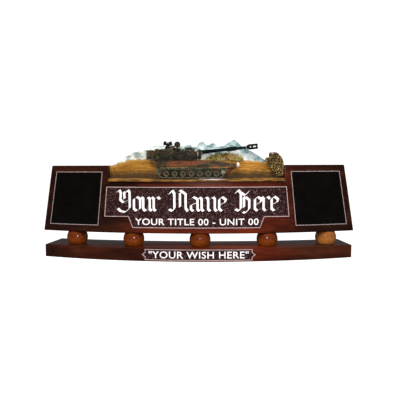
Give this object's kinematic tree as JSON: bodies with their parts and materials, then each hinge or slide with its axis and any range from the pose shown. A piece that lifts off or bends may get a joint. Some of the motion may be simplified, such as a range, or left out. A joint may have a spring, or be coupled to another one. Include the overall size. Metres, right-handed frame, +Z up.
{
  "type": "carved wooden desk plaque",
  "caption": "Bowed wooden desk plaque: a carved name board on turned balls over a bowed base plank, with black inlays and a carved, painted scene of a tracked howitzer along its top.",
  "frame": {"origin": "under the middle of the bounding box, on the surface that the base plank rests on", "axes": "+X to the viewer's right along the plaque, +Y from the carved face to the back, +Z up"},
  "size_m": [0.4688, 0.0922, 0.1726],
  "materials": {
    "mahogany": "stained dark red-brown, gloss lacquer",
    "ball_wood": "orange-brown, gloss lacquer",
    "black_gloss": "polished black sheet",
    "pale_line": "pale grey-pink inlay line",
    "steel": "plain steel wood screw",
    "painted_scenery": "carved and hand painted, satin",
    "painted_vehicle": "carved and hand painted in dark camouflage, satin",
    "pale_paint": "painted pale, satin"
  },
  "bodies": {
    "root": {"ball_post_1": "ball_wood", "ball_post_2": "ball_wood", "ball_post_3": "ball_wood", "ball_post_4": "ball_wood", "ball_post_5": "ball_wood", "base_plank": "mahogany", "bustle_rack": "painted_vehicle", "commander_cupola": "painted_vehicle", "drive_sprocket": "painted_vehicle", "gun_barrel": "painted_vehicle", "gun_mantlet": "painted_vehicle", "head_lamp": "pale_paint", "howitzer_hull": "painted_vehicle", "howitzer_turret": "painted_vehicle", "idler_wheel": "painted_vehicle", "left_inlay_border": "pale_line", "left_inlay_panel": "black_gloss", "machine_gun": "painted_vehicle", "muzzle_brake": "painted_vehicle", "name_board": "mahogany", "open_hatch": "painted_vehicle", "post_screw_1": "steel", "post_screw_2": "steel", "post_screw_3": "steel", "post_screw_4": "steel", "post_screw_5": "steel", "right_inlay_border": "pale_line", "right_inlay_panel": "black_gloss", "road_wheel_1": "painted_vehicle", "road_wheel_2": "painted_vehicle", "road_wheel_3": "painted_vehicle", "road_wheel_4": "painted_vehicle", "road_wheel_5": "painted_vehicle", "road_wheel_6": "painted_vehicle", "road_wheel_7": "painted_vehicle", "scene_backdrop": "painted_scenery", "scene_bush": "painted_scenery", "scene_ground": "painted_scenery", "scene_tree": "painted_scenery", "sight_head": "painted_vehicle", "stowage_bin": "painted_vehicle", "track_band": "painted_vehicle"}
  },
  "joints": []
}
